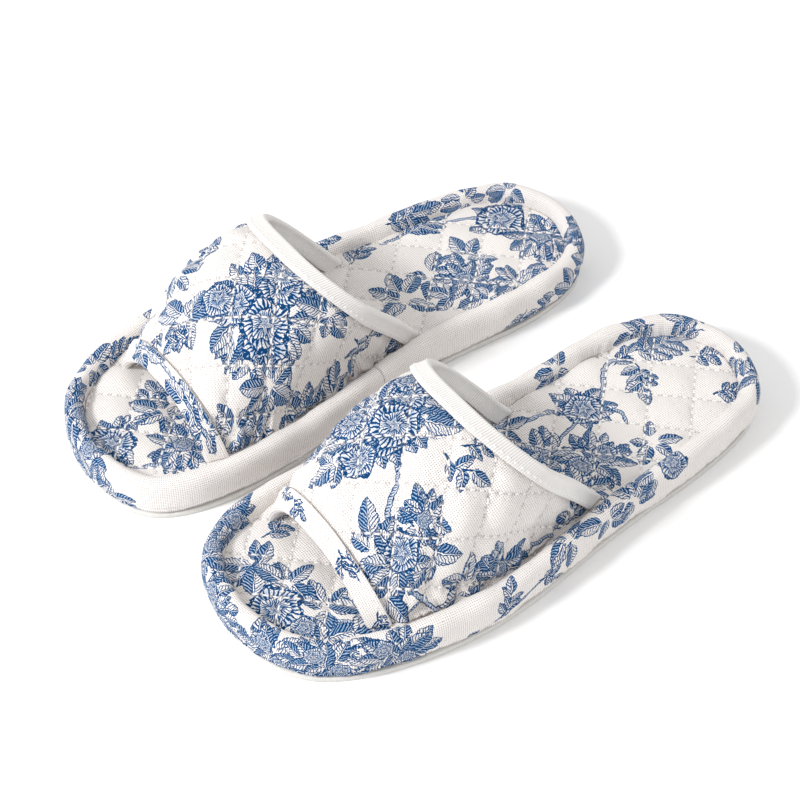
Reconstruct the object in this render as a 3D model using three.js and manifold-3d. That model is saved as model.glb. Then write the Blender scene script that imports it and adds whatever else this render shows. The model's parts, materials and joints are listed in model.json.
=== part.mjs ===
// A pair of open-toe quilted cloth slippers, side by side, toes towards -Y.
// Millimetres, +Z up, origin on the ground at the middle of the pair's box.
// Each slipper is built once for the left foot, with +X on the outer side, and
// mirrored for the right foot. The sole's sheets are cut at the flex line behind
// the vamp, so that the heel part can hinge up.

import * as THREE from 'three';
import { mergeVertices } from 'three/addons/utils/BufferGeometryUtils.js';
import Module from 'manifold-3d';

const wasm = await Module();
wasm.setup();

// ---- Driving dimensions -------------------------------------------------

const soleLength = 275;
const heelWidth = 83;
const waistWidth = 89;
const ballWidth = 109;
const toeWidth = 100;
const heelPlace = 44;          // from the heel end to the heel's widest place
const waistPlace = 110;
const ballPlace = 182;
const toePlace = 237;
const waistOffset = 4;         // the waist and ball lie this far to the outer side
const ballOffset = 3;
const toeOffset = -2;          // the toe leans to the inner side
const toeTipOffset = -5;
const heelFullness = 0.73;     // how square the ends are, 0.71 is an ellipse
const toeFullness = 0.71;

const pairClearance = 12.1;    // between the two slippers' inner sides
const pairStagger = 4;         // how far the right slipper stands in front of the left

const gap = 0.3;               // between pieces that touch
const outsoleThickness = 3;
const outsoleInset = 1.5;      // the outsole stands back under the border
const midsoleThickness = 7.5;
const insoleWaddingThickness = 4;
const clothThickness = 1;
const borderWidth = 9.6;
const borderHeight = 19;       // from the outsole to the crest of the border
const borderMouth = 50;        // degrees each side of level where the wrap is open inside

const vampToeFoot = -93;       // where the toe opening meets the border
const vampHeelFoot = 31;       // where the topline meets the border
const toeOpeningSweep = 4;     // how far each edge leans forward at the crest
const toplineSweep = 54;
const vampRoot = 5;            // the arch springs from this far below the insole's top
const toeOpeningRise = 31;     // from the root to the crest
const toplineRise = 67;
const vampCrown = 2;           // how early the vamp rises behind the toe opening
const toeOpeningFlatness = 2.4;  // superellipse powers of the arch across the foot
const toplineFlatness = 5;
const toeOpeningShoulder = 1.1;
const toplineShoulder = 2.2;
const toplineBulge = 11.5;     // how far the sides swell out, two thirds of the way up
const toeOpeningLean = -4;     // the ridge of the vamp lies to the inner side
const toplineLean = -5;
const vampWaddingThickness = 2.4;
const liningThickness = 0.8;
const toplineBindingWidth = 9;
const toeBindingWidth = 9;
const bindingThickness = 1;

const flexPlace = 47;          // where the sole bends, behind the vamp
const flexGap = 0.4;

const outlineSteps = 48;
const archSteps = 20;
const vampRows = 6;

// ---- Heights of the layers ------------------------------------------------

const midsoleBottom = outsoleThickness + gap;
const waddingBottom = midsoleBottom + midsoleThickness + gap;
const coverBottom = waddingBottom + insoleWaddingThickness + gap;
const insoleTop = coverBottom + clothThickness;
const layerInset = borderWidth + gap;
const vampBottom = insoleTop + gap;
const vampInset = borderWidth + bindingThickness + 2 * gap;
const vampBase = insoleTop - vampRoot;
const borderTop = midsoleBottom + borderHeight;

// ---- Materials ----------------------------------------------------------

const finish = (color, roughness) => () => new THREE.MeshStandardMaterial({ color, roughness, metalness: 0 });
const printedCanvas = finish(0xe9e6e4, 0.9);
const ribbedTape = finish(0xefe9e2, 0.88);
const plainLining = finish(0xf2efec, 0.92);
const wadding = finish(0xf7f7f5, 0.97);
const foam = finish(0xdedede, 0.85);
const soleRubber = finish(0xe4e2de, 0.7);

// ---- Sole outline --------------------------------------------------------

function outlineCurve() {
  const half = soleLength / 2;
  const stations = [
    { width: heelWidth, place: heelPlace, offset: 0 },
    { width: waistWidth, place: waistPlace, offset: waistOffset },
    { width: ballWidth, place: ballPlace, offset: ballOffset },
    { width: toeWidth, place: toePlace, offset: toeOffset },
  ];
  const heelCorner = (sign) => new THREE.Vector3(
    sign * heelFullness * heelWidth / 2, half - heelPlace * (1 - heelFullness), 0);
  const toeDepth = soleLength - toePlace;
  const toeCorner = (sign) => new THREE.Vector3(
    toeTipOffset + sign * toeFullness * toeWidth / 2, -half + toeDepth * (1 - toeFullness), 0);
  const side = (sign) => stations.map((station) => new THREE.Vector3(
    station.offset + sign * station.width / 2, half - station.place, 0));
  const points = [
    new THREE.Vector3(0, half, 0),
    heelCorner(1), ...side(1), toeCorner(1),
    new THREE.Vector3(toeTipOffset, -half, 0),
    toeCorner(-1), ...side(-1).reverse(), heelCorner(-1),
  ];
  return new THREE.CatmullRomCurve3(points, true, 'centripetal');
}

const curve = outlineCurve();
const outlineFrames = Array.from({ length: outlineSteps }, (unused, step) => {
  const at = step / outlineSteps;
  const point = curve.getPointAt(at);
  const tangent = curve.getTangentAt(at);
  return { x: point.x, y: point.y, inwardX: tangent.y, inwardY: -tangent.x };
});

// The outline moved inwards by a distance, as plan points.
function outline(inset) {
  return outlineFrames.map((f) => new THREE.Vector2(f.x + f.inwardX * inset, f.y + f.inwardY * inset));
}

// Where the outline crosses a given y on one side, moved inwards.
function edgeAt(y, sign, inset) {
  const plan = outline(0);
  for (let step = 0; step < plan.length; step += 1) {
    const a = plan[step];
    const b = plan[(step + 1) % plan.length];
    if ((a.y - y) * (b.y - y) <= 0 && a.y !== b.y && Math.sign(a.x + b.x) === sign) {
      return a.x + (b.x - a.x) * (y - a.y) / (b.y - a.y) - sign * inset;
    }
  }
  throw new Error(`the sole has no edge at y = ${y}`);
}

// ---- Solids --------------------------------------------------------------

function solidFrom(geometry) {
  const bare = geometry.clone();
  bare.deleteAttribute('normal');
  bare.deleteAttribute('uv');
  const merged = mergeVertices(bare);
  return new wasm.Manifold(new wasm.Mesh({
    numProp: 3,
    vertProperties: new Float32Array(merged.attributes.position.array),
    triVerts: new Uint32Array(merged.index.array),
  }));
}

function geometryFrom(solid) {
  const mesh = solid.getMesh();
  const geometry = new THREE.BufferGeometry();
  geometry.setAttribute('position', new THREE.BufferAttribute(new Float32Array(mesh.vertProperties), 3));
  geometry.setIndex(new THREE.BufferAttribute(new Uint32Array(mesh.triVerts), 1));
  geometry.computeVertexNormals();
  return geometry;
}

function box(low, high) {
  const size = new THREE.Vector3().subVectors(high, low);
  const middle = new THREE.Vector3().addVectors(low, high).multiplyScalar(0.5);
  return solidFrom(new THREE.BoxGeometry(size.x, size.y, size.z).translate(middle.x, middle.y, middle.z));
}

// Rows of points, each row closed into a loop, skinned into a closed body. With
// closeRows the last row joins the first, otherwise both ends are capped. Each quad is
// cut along its shorter diagonal, so that neighbouring layers are cut alike.
function skin(rows, closeRows) {
  const points = rows.flat();
  const positions = points.flatMap((p) => [p.x, p.y, p.z]);
  const count = rows[0].length;
  const index = [];
  const lastRow = closeRows ? rows.length : rows.length - 1;
  for (let row = 0; row < lastRow; row += 1) {
    const here = row * count;
    const next = ((row + 1) % rows.length) * count;
    for (let i = 0; i < count; i += 1) {
      const j = (i + 1) % count;
      const [a, b, c, d] = [here + i, next + i, next + j, here + j];
      if (points[a].distanceTo(points[c]) < points[b].distanceTo(points[d])) {
        index.push(a, b, c, a, c, d);
      } else {
        index.push(a, b, d, b, c, d);
      }
    }
  }
  const geometry = new THREE.BufferGeometry();
  if (!closeRows) {
    const last = (rows.length - 1) * count;
    for (const [a, b, c] of capFaces(rows[0])) index.push(a, b, c);
    for (const [a, b, c] of capFaces(rows[rows.length - 1])) index.push(last + a, last + c, last + b);
  }
  geometry.setAttribute('position', new THREE.Float32BufferAttribute(positions, 3));
  geometry.setIndex(index);
  return outwards(geometry);
}

// Triangles of a closed loop that lies near a plane, as index triples.
function capFaces(loop) {
  const middle = loop.reduce((sum, p) => sum.add(p), new THREE.Vector3()).divideScalar(loop.length);
  const normal = new THREE.Vector3();
  loop.forEach((p, i) => {
    const a = new THREE.Vector3().subVectors(p, middle);
    const b = new THREE.Vector3().subVectors(loop[(i + 1) % loop.length], middle);
    normal.add(a.cross(b));
  });
  normal.normalize();
  const across = new THREE.Vector3().subVectors(loop[1], loop[0]).normalize();
  const up = new THREE.Vector3().crossVectors(normal, across);
  const flat = loop.map((p) => new THREE.Vector2(p.dot(across), p.dot(up)));
  return THREE.ShapeUtils.triangulateShape(flat, []);
}

// Turns a closed geometry so that its faces point out.
function outwards(geometry) {
  const p = geometry.attributes.position;
  const index = geometry.index.array;
  const [a, b, c] = [new THREE.Vector3(), new THREE.Vector3(), new THREE.Vector3()];
  let volume = 0;
  for (let i = 0; i < index.length; i += 3) {
    a.fromBufferAttribute(p, index[i]);
    b.fromBufferAttribute(p, index[i + 1]);
    c.fromBufferAttribute(p, index[i + 2]);
    volume += a.dot(b.cross(c));
  }
  if (volume < 0) {
    for (let i = 0; i < index.length; i += 3) [index[i], index[i + 1]] = [index[i + 1], index[i]];
  }
  return geometry;
}

// ---- Sole pieces -----------------------------------------------------------

function plate(inset, bottom, thickness) {
  const geometry = new THREE.ExtrudeGeometry(new THREE.Shape(outline(inset)), {
    depth: thickness, bevelEnabled: false, steps: 1,
  });
  return solidFrom(geometry.translate(0, 0, bottom));
}

// A point of the border's rounded section: 0 degrees is level towards the foot.
function borderPoint(degrees, shrink) {
  const roundness = 2 / 2.5;
  const angle = THREE.MathUtils.degToRad(degrees);
  const reach = (value, half) => Math.sign(value) * Math.abs(value) ** roundness * half;
  return {
    inset: borderWidth / 2 + reach(Math.cos(angle), borderWidth / 2 - shrink),
    z: midsoleBottom + borderHeight / 2 + reach(Math.sin(angle), borderHeight / 2 - shrink),
  };
}

// A section carried all the way round the sole outline.
function borderRing(section) {
  const rows = outlineFrames.map((f) => section.map(
    (s) => new THREE.Vector3(f.x + f.inwardX * s.inset, f.y + f.inwardY * s.inset, s.z)));
  return solidFrom(skin(rows, true));
}

function borderCover() {
  const steps = 7;
  const angles = Array.from({ length: steps + 1 },
    (unused, i) => borderMouth + (360 - 2 * borderMouth) * i / steps);
  const outer = angles.map((angle) => borderPoint(angle, 0));
  const inner = angles.map((angle) => borderPoint(angle, clothThickness)).reverse();
  return borderRing([...outer, ...inner]);
}

function borderRoll() {
  const sides = 7;
  const start = borderMouth;
  const angles = Array.from({ length: sides + 1 }, (unused, i) => start + (360 - 2 * start) * i / sides);
  return borderRing(angles.map((angle) => borderPoint(angle, clothThickness + gap)));
}

// ---- Vamp ------------------------------------------------------------------

// The vamp's outer surface: across runs from -1 at the inner side to 1 at the outer
// side, along runs from 0 at the toe opening to 1 at the topline. Across the foot it is
// a superellipse that swells out above the border, and each arch leans forward in a plane.
function vampPoint(across, along) {
  const between = (toe, topline) => toe + (topline - toe) * along;
  const footY = between(vampToeFoot, vampHeelFoot);
  const outer = edgeAt(footY, 1, vampInset);
  const inner = edgeAt(footY, -1, vampInset);
  const crown = 1 - Math.sign(1 - along) * Math.abs(1 - along) ** vampCrown;
  const rise = toeOpeningRise + (toplineRise - toeOpeningRise) * crown;
  const power = (value, flatness) => Math.sign(value) * Math.abs(value) ** (2 / flatness);
  const angle = across * Math.PI / 2;
  const reach = power(Math.sin(angle), between(toeOpeningFlatness, toplineFlatness));
  const arch = power(Math.cos(angle), between(toeOpeningShoulder, toplineShoulder));
  const free = borderTop + gap - vampBase;
  const above = Math.max(0, (rise * arch - free) / (rise - free));
  const bulge = between(0, toplineBulge) * 6.75 * above * above * (1 - above);
  return new THREE.Vector3(
    (outer + inner) / 2 + reach * ((outer - inner) / 2 + bulge) + between(toeOpeningLean, toplineLean) * arch,
    footY - between(toeOpeningSweep, toplineSweep) * arch,
    vampBase + rise * arch,
  );
}

// The surface's frame, measured along the vamp and across it, with the normal inwards.
function vampFrame(step, along) {
  const small = 0.01;
  const across = 2 * step / archSteps - 1;
  const point = vampPoint(across, along);
  const ahead = vampPoint(across, along + small).sub(vampPoint(across, along - small));
  const aside = vampPoint(across + small, along).sub(vampPoint(across - small, along));
  const inward = new THREE.Vector3().crossVectors(ahead, aside).normalize();
  return { point, inward, length: ahead.length() / (2 * small) };
}

// A section in millimetres past an edge of the vamp and inwards from its outer face,
// carried across the foot.
function vampSweep(section, edge) {
  const rows = Array.from({ length: archSteps + 1 }, (unused, step) => {
    const { length } = vampFrame(step, edge);
    return section.map(({ past, inwards }) => {
      const frame = vampFrame(step, edge + past / length);
      return frame.point.addScaledVector(frame.inward, inwards);
    });
  });
  return trimmed(solidFrom(skin(rows, false)));
}

// One layer of the vamp between two depths, from edge to edge and a little past them.
function vampLayer(depth, thickness, past = 0) {
  const rows = Array.from({ length: archSteps + 1 }, (unused, step) => {
    const face = (inwards) => Array.from({ length: vampRows + 1 }, (unusedRow, row) => {
      const edge = (row === vampRows) - (row === 0);
      const frame = vampFrame(step, row / vampRows + edge * past / vampFrame(step, row / vampRows).length);
      return frame.point.addScaledVector(frame.inward, inwards);
    });
    return [...face(depth), ...face(depth + thickness).reverse()];
  });
  return trimmed(solidFrom(skin(rows, false)));
}

// The vamp's pieces end just above the insole.
function trimmed(solid) {
  const reach = soleLength;
  const below = box(new THREE.Vector3(-reach, -reach, -reach), new THREE.Vector3(reach, reach, vampBottom));
  return solid.subtract(below);
}

const waddingDepth = clothThickness + gap;
const liningDepth = waddingDepth + vampWaddingThickness + gap;
const vampThickness = liningDepth + liningThickness;

// A tape folded over an edge of the vamp: towards is 1 at the topline, -1 at the toe.
function binding(width, edge, towards) {
  const outside = -gap - bindingThickness;
  const inside = vampThickness + gap + bindingThickness;
  const lap = -width * towards;
  const rim = (gap + bindingThickness) * towards;
  const folded = vampSweep([
    { past: lap, inwards: outside }, { past: rim, inwards: outside },
    { past: rim, inwards: inside }, { past: lap, inwards: inside },
  ], edge);
  return folded.subtract(vampLayer(-gap, vampThickness + 2 * gap, gap));
}

// ---- Cutting at the flex line ------------------------------------------------

function flexHalves(solid) {
  const reach = soleLength;
  const front = box(new THREE.Vector3(-reach, -reach, -reach),
    new THREE.Vector3(reach, flexPlace - flexGap / 2, reach));
  const heel = box(new THREE.Vector3(-reach, flexPlace + flexGap / 2, -reach),
    new THREE.Vector3(reach, reach, reach));
  return { front: solid.intersect(front), heel: solid.intersect(heel) };
}

// ---- The pair ----------------------------------------------------------------

const soleSheets = [
  ['outsole', plate(outsoleInset, 0, outsoleThickness), soleRubber],
  ['midsole', plate(layerInset, midsoleBottom, midsoleThickness), foam],
  ['insole_wadding', plate(layerInset, waddingBottom, insoleWaddingThickness), wadding],
  ['insole_cover', plate(layerInset, coverBottom, clothThickness), printedCanvas],
  ['border_roll', borderRoll(), wadding],
  ['border_cover', borderCover(), printedCanvas],
].flatMap(([name, solid, material]) => {
  const halves = flexHalves(solid);
  return [[`${name}_front`, halves.front, material], [`${name}_heel`, halves.heel, material]];
});

const vampPieces = [
  ['vamp_cover', vampLayer(0, clothThickness), printedCanvas],
  ['vamp_wadding', vampLayer(waddingDepth, vampWaddingThickness), wadding],
  ['vamp_lining', vampLayer(liningDepth, liningThickness), plainLining],
  ['topline_binding', binding(toplineBindingWidth, 1, 1), ribbedTape],
  ['toe_binding', binding(toeBindingWidth, 0, -1), printedCanvas],
];

function mirrored(geometry) {
  const p = geometry.attributes.position;
  for (let i = 0; i < p.count; i += 1) p.setX(i, -p.getX(i));
  return outwards(geometry);
}

function slipper(side, sign) {
  const group = new THREE.Group();
  for (const [name, solid, material] of [...soleSheets, ...vampPieces]) {
    const geometry = geometryFrom(solid);
    const mesh = new THREE.Mesh(sign < 0 ? mirrored(geometry) : geometry, material());
    mesh.name = `${side}_${name}`;
    group.add(mesh);
  }
  const innerReach = Math.max(...outline(0).map((point) => -point.x));
  group.position.set(sign * (innerReach + pairClearance / 2), sign * pairStagger / 2, 0);
  return group;
}

const pair = new THREE.Group();
pair.add(slipper('left', 1), slipper('right', -1));

export default pair;
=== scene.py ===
"""A pair of open-toe quilted slippers in cotton canvas with a blue engraved flower print.

Each slipper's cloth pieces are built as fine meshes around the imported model. A slipper's
own frame has +X to the outer side of the foot and +Y to the heel, and is mirrored for the
right foot. Sizes are in metres, and cloth coordinates in millimetres.
"""
import json
import math
from functools import partialmethod

import bpy
import numpy as np
from mathutils import Matrix, Vector


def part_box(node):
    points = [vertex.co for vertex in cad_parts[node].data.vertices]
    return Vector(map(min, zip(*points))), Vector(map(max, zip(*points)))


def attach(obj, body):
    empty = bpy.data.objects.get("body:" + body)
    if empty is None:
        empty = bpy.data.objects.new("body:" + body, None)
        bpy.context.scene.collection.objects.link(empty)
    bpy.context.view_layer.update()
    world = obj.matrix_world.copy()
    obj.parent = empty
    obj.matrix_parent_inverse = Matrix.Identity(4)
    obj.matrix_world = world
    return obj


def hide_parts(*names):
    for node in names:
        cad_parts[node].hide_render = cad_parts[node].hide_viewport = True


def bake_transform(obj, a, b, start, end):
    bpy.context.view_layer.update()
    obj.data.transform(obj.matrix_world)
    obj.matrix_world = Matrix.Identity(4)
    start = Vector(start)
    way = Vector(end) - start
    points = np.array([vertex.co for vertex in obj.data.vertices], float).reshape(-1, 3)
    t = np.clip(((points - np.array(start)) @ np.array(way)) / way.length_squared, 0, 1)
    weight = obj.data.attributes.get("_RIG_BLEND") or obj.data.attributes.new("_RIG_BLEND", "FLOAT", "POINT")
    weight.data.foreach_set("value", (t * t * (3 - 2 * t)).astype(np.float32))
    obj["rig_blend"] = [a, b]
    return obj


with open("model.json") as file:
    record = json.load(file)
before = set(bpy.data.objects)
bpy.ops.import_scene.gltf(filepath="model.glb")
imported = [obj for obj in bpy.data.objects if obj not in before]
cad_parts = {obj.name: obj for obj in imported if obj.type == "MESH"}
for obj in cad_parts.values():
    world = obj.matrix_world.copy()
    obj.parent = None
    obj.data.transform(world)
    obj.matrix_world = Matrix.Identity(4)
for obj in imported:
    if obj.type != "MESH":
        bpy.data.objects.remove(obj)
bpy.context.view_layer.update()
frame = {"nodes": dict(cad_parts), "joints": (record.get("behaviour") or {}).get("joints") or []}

MM = 0.001
SIDES = ("left", "right")

# ---- Driving sizes ---------------------------------------------------------

FLEX_PLACE = 47 * MM            # the flex joint's place behind the sole's middle
FLEX_REACH = 24 * MM            # the sole bends over this length each side of it
OUTSOLE_INSET = 1.5 * MM        # the outsole stands back under the border
BORDER_WIDTH = 9.6 * MM
BORDER_POWER = 2.5              # superellipse power of the border's section
CLOTH = 1.0 * MM                # thickness of the canvas
GAP = 0.3 * MM

VAMP_TOE_FOOT = -93 * MM        # where the toe opening meets the border
VAMP_HEEL_FOOT = 31 * MM        # where the topline meets the border
VAMP_SWEEP = (4 * MM, 54 * MM)  # each pair is the value at the toe opening and at the topline
VAMP_RISE = (31 * MM, 67 * MM)
VAMP_FLATNESS = (2.4, 5.0)
VAMP_SHOULDER = (1.1, 2.2)
VAMP_LEAN = (-4 * MM, -5 * MM)
VAMP_CROWN = 2
VAMP_BULGE = 11.5 * MM          # how far the sides swell out above the border
VAMP_ROOT = 5 * MM              # the arch springs from this far below the insole's top
VAMP_INSET = BORDER_WIDTH + CLOTH + 2 * GAP
BAND_WIDTH = 9 * MM             # each lap of a band that is folded over the vamp's edge
SEAM_ANGLE = 216                # degrees round the border's section, 180 is level outside

QUILT_PITCH = 20 * MM           # between parallel lines of quilting
STITCH_PITCH = 4.4 * MM
STITCH_LENGTH = 2.9 * MM
STITCH_RADIUS = 0.45 * MM
CANVAS_RELIEF = 0.22 * MM       # height of the woven threads in the canvas


# ---- Frame -----------------------------------------------------------------

def corners(node):
    mesh = frame["nodes"][node].data
    points = np.empty(len(mesh.vertices) * 3)
    mesh.vertices.foreach_get("co", points)
    return points.reshape(-1, 3)


def between(pair, share):
    return pair[0] + (pair[1] - pair[0]) * share


def signed_power(value, power):
    return np.sign(value) * np.abs(value) ** power


def unit(vectors):
    return vectors / np.linalg.norm(vectors, axis=-1)[..., None]


def run_along(line):
    """The distance from a line's first point to each of its points."""
    return np.concatenate([[0], np.cumsum(np.linalg.norm(np.diff(line, axis=0), axis=1))])


def smoothstep(low, high, value):
    t = np.clip((value - low) / (high - low), 0, 1)
    return t * t * (3 - 2 * t)


def noise(points, scale, seed):
    """Smooth noise from -1 to 1, as a sum of sine waves in fixed random directions."""
    rng = np.random.default_rng(seed)
    total = np.zeros(points.shape[:-1])
    waves = 12
    for _ in range(waves):
        direction = rng.normal(size=points.shape[-1])
        direction *= 2 * math.pi / scale / np.linalg.norm(direction) * rng.uniform(0.6, 1.6)
        total += np.sin(points @ direction + rng.uniform(0, 2 * math.pi))
    return total / math.sqrt(waves)


class Slipper:
    """One side's frame, its sole outline and the heights of its layers."""

    def __init__(self, side):
        self.side = side
        self.sign = 1 if side == "left" else -1
        joint = next(j for j in frame["joints"] if j["name"] == f"{side}_sole_flex")
        self.origin = np.array([joint["pos_m"][0], joint["pos_m"][1] - FLEX_PLACE, 0.0])
        self.outsole_top = self.top("outsole_front")
        self.midsole_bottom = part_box(f"{side}_midsole_front")[0].z
        self.midsole_top = self.top("midsole_front")
        self.insole_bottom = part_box(f"{side}_insole_wadding_front")[0].z
        self.insole_top = self.top("insole_cover_front")
        self.border_top = self.top("border_cover_front")
        self.outline = self.sole_outline()
        ahead = unit(np.roll(self.outline, -1, axis=0) - np.roll(self.outline, 1, axis=0))
        self.inward = np.stack([-ahead[:, 1], ahead[:, 0]], axis=1)

    def top(self, node):
        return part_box(f"{self.side}_{node}")[1].z

    def place(self, points):
        """Points in the slipper's own frame, in the row frame."""
        return points * np.array([self.sign, 1, 1]) + self.origin

    def sole_outline(self, steps=640, blur=4 * MM):
        """The sole's edge as a smooth closed line with even steps, anticlockwise."""
        halves = [corners(f"{self.side}_outsole_{half}") for half in ("front", "heel")]
        points = np.vstack(halves)
        points = points[points[:, 2] < self.outsole_top / 2]
        local = (points - self.origin)[:, :2] * np.array([self.sign, 1])
        local = np.unique(np.round(local, 6), axis=0)
        local = local[np.argsort(np.arctan2(local[:, 1], local[:, 0]))]
        closed = np.vstack([local, local[:1]])
        along = run_along(closed)
        even = np.linspace(0, along[-1], steps, endpoint=False)
        line = np.interp(even, along, closed[:, 0]) + 1j * np.interp(even, along, closed[:, 1])
        waves = np.fft.fftfreq(steps, along[-1] / steps)
        line = np.fft.ifft(np.fft.fft(line) * np.exp(-2 * (math.pi * waves * blur) ** 2))
        ahead = np.roll(line, -1) - np.roll(line, 1)
        line += -1j * ahead / abs(ahead) * OUTSOLE_INSET
        return np.stack([line.real, line.imag], axis=1)

    def ring(self, inset):
        return self.outline + self.inward * inset

    def edge_at(self, y, sign, inset):
        """Where the outline crosses y, on the outer side (1) or the inner side (-1)."""
        side = self.outline[self.outline[:, 0] * sign > 0]
        side = side[np.argsort(side[:, 1])]
        return np.interp(y, side[:, 1], side[:, 0]) - sign * inset

    def vamp_point(self, angle, along):
        """The vamp's outer surface: angle runs from -90 to 90 degrees across the foot, and
        along from 0 at the toe opening to 1 at the topline."""
        foot_y = between((VAMP_TOE_FOOT, VAMP_HEEL_FOOT), along)
        outer = self.edge_at(foot_y, 1, VAMP_INSET)
        inner = self.edge_at(foot_y, -1, VAMP_INSET)
        rise = between(VAMP_RISE, 1 - signed_power(1 - along, VAMP_CROWN))
        reach = signed_power(np.sin(angle), 2 / between(VAMP_FLATNESS, along))
        arch = np.abs(np.cos(angle)) ** (2 / between(VAMP_SHOULDER, along))
        free = self.border_top + GAP - self.insole_top + VAMP_ROOT
        above = np.maximum(0, (rise * arch - free) / (rise - free))
        bulge = between((0, VAMP_BULGE), along) * 6.75 * above ** 2 * (1 - above)
        half_width = (outer - inner) / 2 + bulge
        x = (outer + inner) / 2 + reach * half_width + between(VAMP_LEAN, along) * arch
        y = foot_y - between(VAMP_SWEEP, along) * arch
        z = self.insole_top - VAMP_ROOT + rise * arch
        return np.stack([x, y, z], axis=-1)

    def vamp_limit(self, along, floor):
        """The angle where the vamp comes down to a height."""
        rise = between(VAMP_RISE, 1 - signed_power(1 - along, VAMP_CROWN))
        arch = (floor - self.insole_top + VAMP_ROOT) / rise
        return np.arccos(arch ** (between(VAMP_SHOULDER, along) / 2))


# ---- Meshes ----------------------------------------------------------------

def normals_of(points, outward):
    """A grid's normals, turned to the side that outward points to."""
    normal = np.cross(np.gradient(points, axis=0), np.gradient(points, axis=1))
    normal /= np.linalg.norm(normal, axis=-1)[..., None] + 1e-12
    return normal if np.sum(normal * outward) > 0 else -normal


class Sheet:
    """A grid of points on a cloth surface, with its normals and its cloth coordinates."""

    def __init__(self, points, cloth, outward):
        self.points, self.cloth = points, cloth
        self.steps = [np.gradient(points, axis=axis) for axis in (0, 1)]
        self.normal = normals_of(points, outward)

    def raised(self, height):
        return self.points + self.normal * height[..., None]

    def rebuilt(self, height):
        """The same sheet after its points were raised, for what is sewn on its surface."""
        return Sheet(self.raised(height), self.cloth, self.normal)

    def find(self, targets):
        """Points, normals and two tangents at cloth coordinates, and how far off they are."""
        flat = self.cloth.reshape(-1, 2)
        nearest = np.empty(len(targets), int)
        for start in range(0, len(targets), 200):
            part = targets[start:start + 200]
            nearest[start:start + 200] = np.argmin(
                ((part[:, None, :] - flat[None]) ** 2).sum(-1), axis=1)
        row, column = np.unravel_index(nearest, self.cloth.shape[:2])
        off = targets - self.cloth[row, column]
        grid = [np.gradient(self.cloth, axis=axis)[row, column] for axis in (0, 1)]
        inverse = np.linalg.inv(np.stack(grid, axis=-1))
        tangents = np.stack([self.steps[axis][row, column] for axis in (0, 1)], axis=-1) @ inverse
        points = self.points[row, column] + np.einsum("nij,nj->ni", tangents, off)
        return points, self.normal[row, column], tangents, np.linalg.norm(off, axis=1)


def add_object(name, points, faces, material, attributes=()):
    mesh = bpy.data.meshes.new(name)
    faces = np.asarray(faces, np.int32)
    mesh.vertices.add(len(points))
    mesh.vertices.foreach_set("co", np.asarray(points, np.float32).ravel())
    mesh.loops.add(faces.size)
    mesh.loops.foreach_set("vertex_index", faces.ravel())
    mesh.polygons.add(len(faces))
    starts = np.arange(0, faces.size, faces.shape[1], dtype=np.int32)
    mesh.polygons.foreach_set("loop_start", starts)
    mesh.update(calc_edges=True)
    mesh.validate()
    mesh.shade_smooth()
    for label, kind, domain, values in attributes:
        attribute = mesh.attributes.new(label, kind, domain)
        field = "color" if kind == "FLOAT_COLOR" else "vector"
        attribute.data.foreach_set(field, np.asarray(values, np.float32).ravel())
    mesh.materials.append(material)
    thing = bpy.data.objects.new(name, mesh)
    bpy.context.scene.collection.objects.link(thing)
    return thing


def grid_faces(rows, columns, close_rows=False, close_columns=False):
    i = np.arange(rows if close_rows else rows - 1)[:, None]
    j = np.arange(columns if close_columns else columns - 1)[None, :]
    down, right = (i + 1) % rows, (j + 1) % columns
    quads = [i * columns + j, down * columns + j, down * columns + right, i * columns + right]
    return np.stack(np.broadcast_arrays(*quads), axis=-1).reshape(-1, 4)


def rim_of(rows, columns):
    """Indices round a grid's edge, in order."""
    grid = np.arange(rows * columns).reshape(rows, columns)
    return np.concatenate([grid[0, :-1], grid[:-1, -1], grid[-1, :0:-1], grid[:0:-1, 0]])


def thick_sheet(top, bottom, wall_rows=0, swell=0.0):
    """Points and faces of the closed body between two grids, with a wall that may swell out
    round the edge. The top grid's faces come first."""
    rows, columns = top.shape[:2]
    count = rows * columns
    upper, lower = top.reshape(-1, 3), bottom.reshape(-1, 3)
    faces = grid_faces(rows, columns)
    first = upper[faces[:, 0]]
    normal = np.cross(upper[faces[:, 1]] - first, upper[faces[:, 3]] - first)
    if np.sum(normal * (upper - lower)[faces[:, 0]]) < 0:
        faces = faces[:, ::-1]
    rim = rim_of(rows, columns)
    loops = [rim]
    walls = []
    out = unit((upper[rim] - upper[rim].mean(axis=0)) * np.array([1, 1, 0]))
    for k in range(1, wall_rows + 1):
        share = k / (wall_rows + 1)
        walls.append(upper[rim] * (1 - share) + lower[rim] * share
                     + out * swell * math.sin(math.pi * share))
        loops.append(2 * count + (k - 1) * len(rim) + np.arange(len(rim)))
    loops.append(rim + count)
    sides = [np.stack([a, np.roll(a, -1), np.roll(b, -1), b], axis=1)
             for a, b in zip(loops, loops[1:])]
    points = np.vstack([upper, lower, *walls])
    everything = np.vstack([faces, faces[:, ::-1] + count, *sides])
    return points, outwards(points, everything, len(faces) * 2)


def outwards(points, faces, fixed):
    """Turns the faces after the first so many to agree with them across shared edges."""
    edges = {(int(f[k]), int(f[(k + 1) % 4])) for f in faces[:fixed] for k in range(4)}
    first = faces[fixed]
    if any((int(first[k]), int(first[(k + 1) % 4])) in edges for k in range(4)):
        faces[fixed:] = faces[fixed:, ::-1]
    return faces


# ---- Sheets of a slipper ---------------------------------------------------

def quilting(cloth):
    """How far between its lines of quilting a place on the cloth lies: 0 on a line, 1 between."""
    share = 1.0
    for across in (1, -1):
        line = (cloth[..., 0] + across * cloth[..., 1]) * MM / (math.sqrt(2) * QUILT_PITCH)
        share = share * np.abs(np.sin(math.pi * line)) ** 0.6
    return share


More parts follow.
